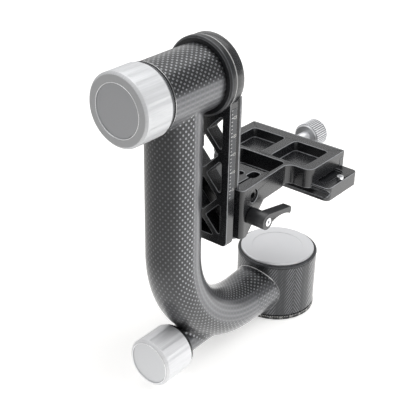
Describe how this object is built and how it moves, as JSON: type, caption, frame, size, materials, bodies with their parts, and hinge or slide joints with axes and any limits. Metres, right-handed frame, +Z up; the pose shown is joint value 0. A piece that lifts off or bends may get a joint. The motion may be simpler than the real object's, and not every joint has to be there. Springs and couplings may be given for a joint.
{
  "type": "gimbal tripod head",
  "caption": "Gimbal head for a long lens: a J-shaped carbon arm pans on a round base, a truss swing arm tilts on it, and a clamp platform slides on the swing arm.",
  "frame": {"origin": "centre of the base's underside, on the pan axis, at the mouth of the tripod thread", "axes": "+Z up along the pan axis; +X along the tilt axis, from the lock knobs to the platform; Y along the lens plate"},
  "size_m": [0.213, 0.101, 0.2369],
  "materials": {
    "carbon": "clear-coated woven carbon",
    "silver": "satin anodised, clear",
    "black": "satin anodised, black",
    "steel": "turned",
    "brass": "turned",
    "nylon": "moulded"
  },
  "bodies": {
    "base": {"base_plate": "black", "tripod_bush": "steel", "plate_screws": "steel", "pan_spindle": "steel", "lower_inner_ring": "steel", "upper_inner_ring": "steel", "spindle_nut": "steel"},
    "lower_ball_set": {"lower_balls": "steel"},
    "upper_ball_set": {"upper_balls": "steel"},
    "yoke": {"base_shell": "carbon", "lower_tube": "carbon", "arm_bend": "carbon", "lock_housing": "carbon", "upright_tube": "carbon", "top_tube": "carbon", "bearing_carrier": "silver", "lower_outer_ring": "steel", "upper_outer_ring": "steel", "trim_ring": "black", "base_cap": "silver", "guide_sleeve": "steel", "lock_washer": "black", "top_liner": "silver", "end_collar": "black", "flange_ring": "black", "tilt_washer": "nylon", "rear_outer_ring": "steel", "front_outer_ring": "steel"},
    "pan_brake": {"pan_lock_rod": "steel", "brake_shoe": "brass"},
    "pan_knob": {"pan_lock_knob": "silver", "pan_knob_disc": "silver"},
    "rear_ball_set": {"rear_balls": "steel"},
    "front_ball_set": {"front_balls": "steel"},
    "swing_arm": {"tilt_shaft": "steel", "tilt_spacer": "steel", "rear_inner_ring": "steel", "front_inner_ring": "steel", "swing_plate": "black", "hub_screws": "steel", "height_scale": "silver"},
    "tilt_brake": {"pressure_disc": "steel"},
    "tilt_knob": {"tilt_lock_knob": "silver", "tilt_knob_disc": "silver"},
    "platform": {"bracket": "black", "side_screw": "steel"},
    "lever": {"clamp_lever": "black", "lever_screw": "steel", "clamp_bolt": "steel"},
    "jaw": {"moving_jaw": "black", "guide_pins": "steel"},
    "jaw_knob": {"clamp_knob": "silver", "jaw_screw": "steel"},
    "plate": {"lens_plate": "black", "stop_screws": "steel", "camera_screws": "steel"}
  },
  "joints": [
    {"name": "pan", "type": "hinge", "parent": "base", "child": "yoke", "pos_m": [0, 0, 0.023], "axis": [0, 0, 1], "continuous": true},
    {"name": "lower_balls_turn", "type": "hinge", "parent": "base", "child": "lower_ball_set", "pos_m": [0, 0, 0.0118], "axis": [0, 0, 1], "continuous": true},
    {"name": "upper_balls_turn", "type": "hinge", "parent": "base", "child": "upper_ball_set", "pos_m": [0, 0, 0.0352], "axis": [0, 0, 1], "continuous": true},
    {"name": "pan_lock_shift", "type": "slide", "parent": "yoke", "child": "pan_brake", "axis": [-1, 0, 0], "range_m": [0, 0.00104]},
    {"name": "pan_lock_turn", "type": "hinge", "parent": "pan_brake", "child": "pan_knob", "pos_m": [-0.134, 0, 0.0231], "axis": [-1, 0, 0], "range_deg": [0, 300]},
    {"name": "tilt", "type": "hinge", "parent": "yoke", "child": "swing_arm", "pos_m": [-0.1, 0, 0.2116], "axis": [1, 0, 0], "continuous": true},
    {"name": "rear_balls_turn", "type": "hinge", "parent": "yoke", "child": "rear_ball_set", "pos_m": [-0.1365, 0, 0.2116], "axis": [1, 0, 0], "continuous": true},
    {"name": "front_balls_turn", "type": "hinge", "parent": "yoke", "child": "front_ball_set", "pos_m": [-0.1025, 0, 0.2116], "axis": [1, 0, 0], "continuous": true},
    {"name": "tilt_lock_shift", "type": "slide", "parent": "swing_arm", "child": "tilt_brake", "axis": [-1, 0, 0], "range_m": [0, 0.00125]},
    {"name": "tilt_lock_turn", "type": "hinge", "parent": "tilt_brake", "child": "tilt_knob", "pos_m": [-0.159, 0, 0.2116], "axis": [-1, 0, 0], "range_deg": [0, 300]},
    {"name": "height", "type": "slide", "parent": "swing_arm", "child": "platform", "axis": [0, 0, 1], "range_m": [-0.0015, 0.0635]},
    {"name": "lever_turn", "type": "hinge", "parent": "platform", "child": "lever", "pos_m": [-0.0703, -0.03, 0.1123], "axis": [0, -1, 0], "range_deg": [0, 150]},
    {"name": "jaw_shift", "type": "slide", "parent": "platform", "child": "jaw", "axis": [1, 0, 0], "range_m": [0, 0.00279]},
    {"name": "jaw_knob_turn", "type": "hinge", "parent": "jaw", "child": "jaw_knob", "pos_m": [0.035, 0, 0.128], "axis": [1, 0, 0], "range_deg": [0, 1260]},
    {"name": "plate_shift", "type": "slide", "parent": "platform", "child": "plate", "axis": [0, 1, 0], "range_m": [-0.0027, 0.0077]}
  ],
  "couplings": [
    {"joint": "lower_balls_turn", "follows": "pan", "ratio": 0.5561},
    {"joint": "upper_balls_turn", "follows": "pan", "ratio": 0.5669},
    {"joint": "rear_balls_turn", "follows": "tilt", "ratio": 0.4331},
    {"joint": "front_balls_turn", "follows": "tilt", "ratio": 0.4331},
    {"joint": "pan_lock_turn", "follows": "pan_lock_shift", "rad_per_m": 5026.6},
    {"joint": "tilt_lock_turn", "follows": "tilt_lock_shift", "rad_per_m": 4188.8},
    {"joint": "jaw_knob_turn", "follows": "jaw_shift", "rad_per_m": 7854}
  ]
}
